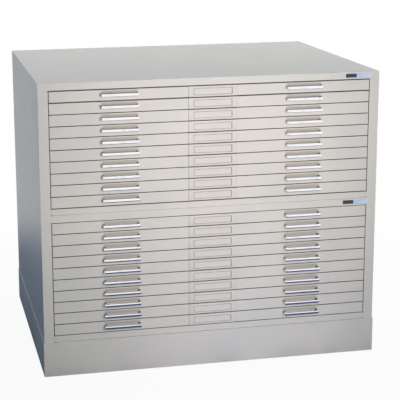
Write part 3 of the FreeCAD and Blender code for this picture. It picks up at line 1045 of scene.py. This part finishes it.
@dataclass
class RearRoller:
    """Roller on a stepped axle along X. X 0 is the outside of the tray's wall."""

    radius: float = 8 * MM
    collar: float = 5 * MM
    collar_length: float = 9.1 * MM
    width: float = 7 * MM
    pin: float = 3 * MM
    head: float = 4.5 * MM
    head_length: float = 0.9 * MM
    tyre_edge: float = 0.7 * MM
    tread: float = 2 * MM
    groove: float = 0.8 * MM
    groove_slope: float = 0.4 * MM
    hub: float = 0.3 * MM
    bore_play: float = 0.05 * MM
    end_play: float = 0.1 * MM
    axle_edge: float = 0.3 * MM
    rivet_share: float = 0.6

    def tyre(self) -> Mesh:
        """Build the roller with its grooved outer side.

        Returns:
            The mesh.
        """
        work = Workpiece()
        near, far = self.collar_length, self.collar_length + self.width
        soft, bore, rim = self.tyre_edge, self.pin + self.bore_play, self.radius - self.tread
        work.turned(
            (
                (near, bore),
                (near, self.radius - soft),
                (near + soft, self.radius),
                (far - soft, self.radius),
                (far, self.radius - soft),
                (far, rim),
                (far - self.groove, rim - self.groove_slope),
                (far - self.groove, self.head + self.hub),
                (far, self.head),
                (far, bore),
                (near, bore),
            )
        )
        return work.mesh()

    def axle(self) -> Mesh:
        """Build the axle with its collar and its riveted head.

        Returns:
            The mesh.
        """
        work = Workpiece()
        near, far = self.collar_length - self.end_play, self.collar_length + self.width
        end, soft = far + self.head_length, self.axle_edge
        work.turned(
            (
                (0.0, 0.0),
                (0.0, self.collar),
                (near - soft, self.collar),
                (near, self.collar - soft),
                (near, self.pin),
                (far + self.end_play, self.pin),
                (far + self.end_play, self.head),
                (end - soft, self.head),
                (end + self.end_play, self.head * self.rivet_share),
                (end + self.end_play, 0.0),
            )
        )
        return work.mesh()


@dataclass
class LabelHolder:
    """Formed plate in the middle of a face with a raised card frame and a blank card."""

    width: float = 147.2 * MM
    low: float = 1.5 * MM
    high: float = 33.3 * MM
    rise: float = 2.2 * MM
    edge: float = 0.7 * MM
    card_width: float = 116.2 * MM
    card_height: float = 19.4 * MM
    rim: float = 1.9 * MM
    rim_rise: float = 1.5 * MM
    rim_edge: float = 0.5 * MM
    card_play: float = 0.75 * MM
    card_slot: float = 1.5 * MM
    card_gauge: float = 0.5 * MM
    card_floor: float = 0.1 * MM
    # Painted shade: the dark sheet under the card's edges and along the plate's ends.
    shade_gauge: float = 0.2 * MM
    seam: float = 0.45 * MM
    seam_half_depth: float = 0.3 * MM

    def plate(self) -> Mesh:
        """Build the plate with its frame.

        Returns:
            The mesh, on Y 0 and with Z 0 at the cell's bottom.
        """
        work = Workpiece()
        half, middle = self.width / 2, DRAWER_PITCH / 2
        sheet = work.box((-half, -self.rise, self.low), (half, 0.0, self.high))
        work.soften(self._front_edges(sheet, -self.rise), self.edge)
        wide, tall = self.card_width / 2 + self.rim, self.card_height / 2 + self.rim
        front = -self.rise - self.rim_rise
        work.box((-wide, front, middle - tall), (wide, -self.rise / 2, middle + tall))
        window = [f for f in work.bm.faces if f.calc_center_median().y < front + ON_PLANE]
        bmesh.ops.inset_region(work.bm, faces=window, thickness=self.rim, depth=0.0)
        work.push(window, (0.0, self.rim_rise - self.card_floor, 0.0))
        lip = self._front_edges([v for f in work.bm.faces for v in f.verts], front)
        work.soften(lip, self.rim_edge)
        return work.mesh()

    @staticmethod
    def _front_edges(
        corners: Iterable[bmesh.types.BMVert], front: float
    ) -> set[bmesh.types.BMEdge]:
        """Edges between some corners that lie on a front plane, given by its Y."""
        near = {vert for vert in corners if abs(vert.co.y - front) < ON_PLANE}
        return {edge for vert in near for edge in vert.link_edges if near.issuperset(edge.verts)}

    def card(self) -> Mesh:
        """Build the blank card.

        Returns:
            The mesh.
        """
        work = Workpiece()
        half, middle = self.card_width / 2, DRAWER_PITCH / 2
        tall = self.card_height / 2 - self.card_play
        low = (self.card_play - half, -self.rise - self.card_gauge, middle - tall)
        work.box(low, (half - self.card_slot, -self.rise / 2, middle + tall))
        return work.mesh()

    def shade(self) -> Mesh:
        """Build the dark sheet that stands for the shade round the card and in the joint at both
        ends of the plate: painted shade.

        Returns:
            The mesh.
        """
        work = Workpiece()
        half, tall, middle = self.card_width / 2, self.card_height / 2, DRAWER_PITCH / 2
        low = (-half, -self.rise - self.shade_gauge, middle - tall)
        work.box(low, (half, -self.rise / 2, middle + tall))
        end, deep = self.width / 2 + self.seam, self.seam_half_depth
        work.box((-end, -deep, self.low), (end, deep, self.high))
        return work.mesh()


@dataclass
class DrawerHardware:
    """Pulls, screws, rear rollers and label holder of each drawer."""

    chrome: Material
    zinc: Material
    enamel: Material
    paper: Material
    # A dark finish that stands for shade in the label holder: painted shade.
    dark: Material
    pull_spacing: float = 559 * MM
    pull_rise: float = 2 * MM
    screw_offset: float = 52 * MM
    axle_seat: float = 468 * MM
    axle_place: float = 722 * MM
    axle_level: float = 15.8 * MM
    shapes: dict[str, Mesh] = field(init=False)

    def __post_init__(self) -> None:
        """Build each shape once."""
        roller, label = RearRoller(), LabelHolder()
        self.shapes = {
            "bow": BowPull().build(),
            "screw": PullScrew().build(),
            "tyre": roller.tyre(),
            "axle": roller.axle(),
            "plate": label.plate(),
            "card": label.card(),
            "shade": label.shade(),
        }

    def dress(self, unit: str, number: int) -> None:
        """Make the pieces of one drawer.

        Args:
            unit: upper or lower.
            number: The drawer's number from the top.
        """
        body = f"{unit}_drawer_{number:02d}"
        cell = UNIT_FLOORS[unit] + FIRST_CELL_TOP - number * DRAWER_PITCH
        self._bright_parts(body, cell)
        self._label(body, cell)

    def _bright_parts(self, body: str, cell: float) -> None:
        """Make the pulls with their screws and the rear rollers.

        Args:
            body: The drawer's body.
            cell: Height of its cell's bottom.
        """
        level = cell + DRAWER_PITCH / 2 + self.pull_rise
        half = self.pull_spacing / 2
        pulls = [Matrix.Translation((x, FRONT_PLANE, level)) for x in (-half, half)]
        inward = Matrix.Rotation(math.pi / 2, 4, "Z")
        feet = [Matrix.Translation((x, 0.0, 0.0)) for x in (-self.screw_offset, self.screw_offset)]
        screws = [pull @ foot @ inward for pull in pulls for foot in feet]
        axle = Matrix.Translation((self.axle_seat, 0.0, 0.0))
        centre = Matrix.Translation((0.0, FRONT_PLANE + self.axle_place, cell + self.axle_level))
        axles = [centre @ axle, centre @ Matrix.Rotation(math.pi, 4, "Z") @ axle]
        piece = Piece(f"{body}_pulls_and_rollers")
        piece.add(self.shapes["bow"], self.chrome, pulls)
        piece.add(self.shapes["screw"], self.zinc, screws)
        piece.add(self.shapes["tyre"], self.zinc, axles)
        piece.add(self.shapes["axle"], self.zinc, axles)
        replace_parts(piece.ride(body), f"{body}_pulls")

    def _label(self, body: str, cell: float) -> None:
        """Make the label holder over the CAD one.

        Args:
            body: The drawer's body.
            cell: Height of its cell's bottom.
        """
        place = [Matrix.Translation((0.0, FRONT_PLANE, cell))]
        piece = Piece(f"{body}_label_holder")
        piece.add(self.shapes["plate"], self.enamel, place)
        piece.add(self.shapes["card"], self.paper, place)
        piece.add(self.shapes["shade"], self.dark, place)
        piece.ride(body)


@dataclass
class BadgePlates:
    """Blank two-tone plates at the right end of each unit's top rail."""

    width: float = 82 * MM
    height: float = 11.5 * MM
    gauge: float = 1.2 * MM
    corner: float = 1 * MM
    corner_steps: int = 4
    middle: float = 452.5 * MM
    level: float = 380.25 * MM
    border: float = 0.7 * MM
    recess: float = 0.2 * MM
    edge: float = 0.25 * MM
    dark_share: float = 0.41

    def build(self) -> None:
        """Make both plates as one piece."""
        split = self.middle - self.width / 2 + self.width * self.dark_share
        finish = BadgeFinish(split=split, end=self.middle + self.width / 2).build()
        work = Workpiece()
        back = work.plate(self.width, self.height, self.corner, self.corner_steps)
        faces = work.push(back, (0.0, -self.gauge, 0.0))
        work.soften({edge for face in faces for edge in face.edges}, self.edge)
        front = {vert for vert in work.bm.verts if vert.co.y < ON_PLANE - self.gauge}
        panel = [face for face in work.bm.faces if front.issuperset(face.verts)]
        bmesh.ops.inset_region(work.bm, faces=panel, thickness=self.border, depth=0.0)
        bmesh.ops.inset_region(work.bm, faces=panel, thickness=self.recess, depth=-self.recess)
        piece = Piece("badge_plates")
        levels = [floor + self.level for floor in UNIT_FLOORS.values()]
        places = [Matrix.Translation((self.middle, FRONT_PLANE, level)) for level in levels]
        piece.add(work.mesh(), finish, places)
        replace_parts(piece.ride("cabinet"), "badges")


@dataclass
class PanSeams:
    """Strips behind the joints under the bottom rails, which keep the joints shallow."""

    enamel: Material
    half_width: float = 484 * MM
    depth: Pair = (2.2 * MM, 3.2 * MM)
    height: Pair = (0.2 * MM, 4.5 * MM)

    def build(self) -> None:
        """Make both strips as one piece."""
        work = Workpiece()
        (near, far), (bottom, top) = self.depth, self.height
        low = (-self.half_width, FRONT_PLANE + near, bottom)
        work.box(low, (self.half_width, FRONT_PLANE + far, top))
        piece = Piece("pan_seams")
        places = [Matrix.Translation((0.0, 0.0, floor)) for floor in UNIT_FLOORS.values()]
        piece.add(work.mesh(), self.enamel, places)
        piece.ride("cabinet")


@dataclass
class SheetMetal:
    """The CAD nodes that are shown as they are, with their finishes."""

    enamel: Material
    drawer_enamel: Material
    zinc: Material
    zinc_words: tuple[str, ...] = ("runners", "rollers", "bolts")

    def dress(self, nodes: dict[str, bpy.types.Object]) -> None:
        """Give each shown node its finish.

        Args:
            nodes: The CAD nodes by name.
        """
        for name, node in nodes.items():
            if node.hide_render:
                continue
            plated = name.endswith(self.zinc_words)
            painted = self.drawer_enamel if name.endswith("_tray") else self.enamel
            node.data.materials.clear()
            node.data.materials.append(self.zinc if plated else painted)
            log.info("%s: CAD node in %s", name, "zinc" if plated else "enamel")


# Studio


@dataclass(frozen=True)
class SoftBox:
    """Rectangular lamp that is aimed at a point and isn't mirrored.

    Its spread is in degrees and its power in watts, for red, green and blue.
    """

    name: str
    place: Triple
    aim: Triple
    size: Pair
    spread: float
    power: Triple

    def build(self) -> None:
        """Hang the lamp."""
        lamp = bpy.data.lights.new(self.name, "AREA")
        lamp.shape = "RECTANGLE"
        lamp.size, lamp.size_y = self.size
        lamp.spread = math.radians(self.spread)
        lamp.energy = max(self.power)
        lamp.color = [share / lamp.energy for share in self.power]
        box = shown(self.name, lamp)
        turn = (Vector(self.aim) - Vector(self.place)).to_track_quat("-Z", "Y")
        box.matrix_world = Matrix.Translation(self.place) @ turn.to_matrix().to_4x4()
        box.visible_camera = False
        box.visible_glossy = False
        box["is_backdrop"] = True


LAMPS = (
    SoftBox("front_box", (0, -2.6, 0.9), (0.04, -0.38, 0.66), (0.7, 0.7), 80, (6.2, 6.1, 5.6)),
    SoftBox(
        "high_front_box", (0.05, -2.3, 1.0), (0.04, -0.38, 0.84), (0.7, 0.5), 64, (2.35, 2.2, 2.45)
    ),
    SoftBox(
        "low_front_box", (0.14, -2.0, 0.3), (0.1, -0.38, 0.05), (0.5, 0.3), 36, (0.19, 0.19, 0.27)
    ),
    SoftBox("left_box", (-2.6, 0.4, 1.1), (-0.5, 0, 0.45), (1.4, 1.4), 100, (0.05, 0.3, 0.45)),
    SoftBox("right_box", (2.6, 0.2, 1.2), (0.4, 0, 0.45), (1.6, 1.6), 100, (13.5, 13.0, 12.4)),
    SoftBox("rear_box", (-0.2, 2.6, 3.0), (0, 0.3, 0.6), (1.6, 1.2), 100, (21.0, 19.8, 18.6)),
)


@dataclass
class Studio:
    """Floor, sky and lamps."""

    floor_reach: float = 30.0
    floor_steps: int = 64
    lamps: tuple[SoftBox, ...] = LAMPS

    def build(self) -> None:
        """Set the stage."""
        self._floor()
        bpy.context.scene.world = SkyFinish().build(bpy.data.worlds.new("studio"))
        for lamp in self.lamps:
            lamp.build()

    def _floor(self) -> None:
        """Make the floor."""
        work = Workpiece()
        size = {"segments": self.floor_steps, "radius": self.floor_reach}
        bmesh.ops.create_circle(work.bm, cap_ends=True, **size)
        mesh = work.mesh()
        mesh.materials.append(FloorFinish().build())
        floor = shown("studio_floor", mesh)
        floor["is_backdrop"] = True


@dataclass
class Viewpoint:
    """Camera at the photograph's viewing angle, with its angles in degrees."""

    place: Triple = (-0.8918, -3.9074, 1.4264)
    yaw: float = 11.71
    pitch: float = 12.455
    roll: float = -0.422
    lens: float = 112.38
    sensor: float = 36.0
    shift: Pair = (0.10, -0.085)

    def build(self) -> None:
        """Make the scene's camera."""
        yaw, pitch, roll = (math.radians(angle) for angle in (self.yaw, self.pitch, self.roll))
        level = math.cos(pitch)
        forward = Vector((math.sin(yaw) * level, math.cos(yaw) * level, -math.sin(pitch)))
        right = Vector((math.cos(yaw), -math.sin(yaw), 0.0))
        up = right.cross(forward)
        across = right * math.cos(roll) + up * math.sin(roll)
        upward = up * math.cos(roll) - right * math.sin(roll)
        data = bpy.data.cameras.new("camera")
        data.sensor_width = self.sensor
        data.lens = self.lens
        data.shift_x, data.shift_y = self.shift
        camera = shown("camera", data)
        turn = Matrix((across, upward, -forward)).transposed().to_4x4()
        camera.matrix_world = Matrix.Translation(self.place) @ turn
        bpy.context.scene.camera = camera


def corners() -> list[list[float]]:
    """Lowest and highest corner of what is shown, as plain lists."""
    return [list(corner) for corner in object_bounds()]


def main() -> None:
    """Build everything in order."""
    logging.basicConfig(level=logging.INFO, format="%(message)s")
    for item in list(bpy.data.objects):
        bpy.data.objects.remove(item)
    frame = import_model()
    enamel, zinc = EnamelFinish().build(), ZincFinish().build()
    # Painted shade: a dark card finish for the sheet in the label holder's slots and joints.
    shade = CardFinish("label_shade", colour(92, 78, 70), colour(80, 70, 64)).build()
    hardware = DrawerHardware(ChromeFinish().build(), zinc, enamel, CardFinish().build(), shade)
    for unit in UNIT_FLOORS:
        for number in range(1, DRAWERS_PER_UNIT + 1):
            hardware.dress(unit, number)
    BadgePlates().build()
    PanSeams(enamel).build()
    SheetMetal(enamel, DrawerFinish().build(), zinc).dress(frame["nodes"])
    Studio().build()
    Viewpoint().build()
    bpy.context.scene.view_settings.view_transform = "Standard"


if __name__ == "__main__":
    main()
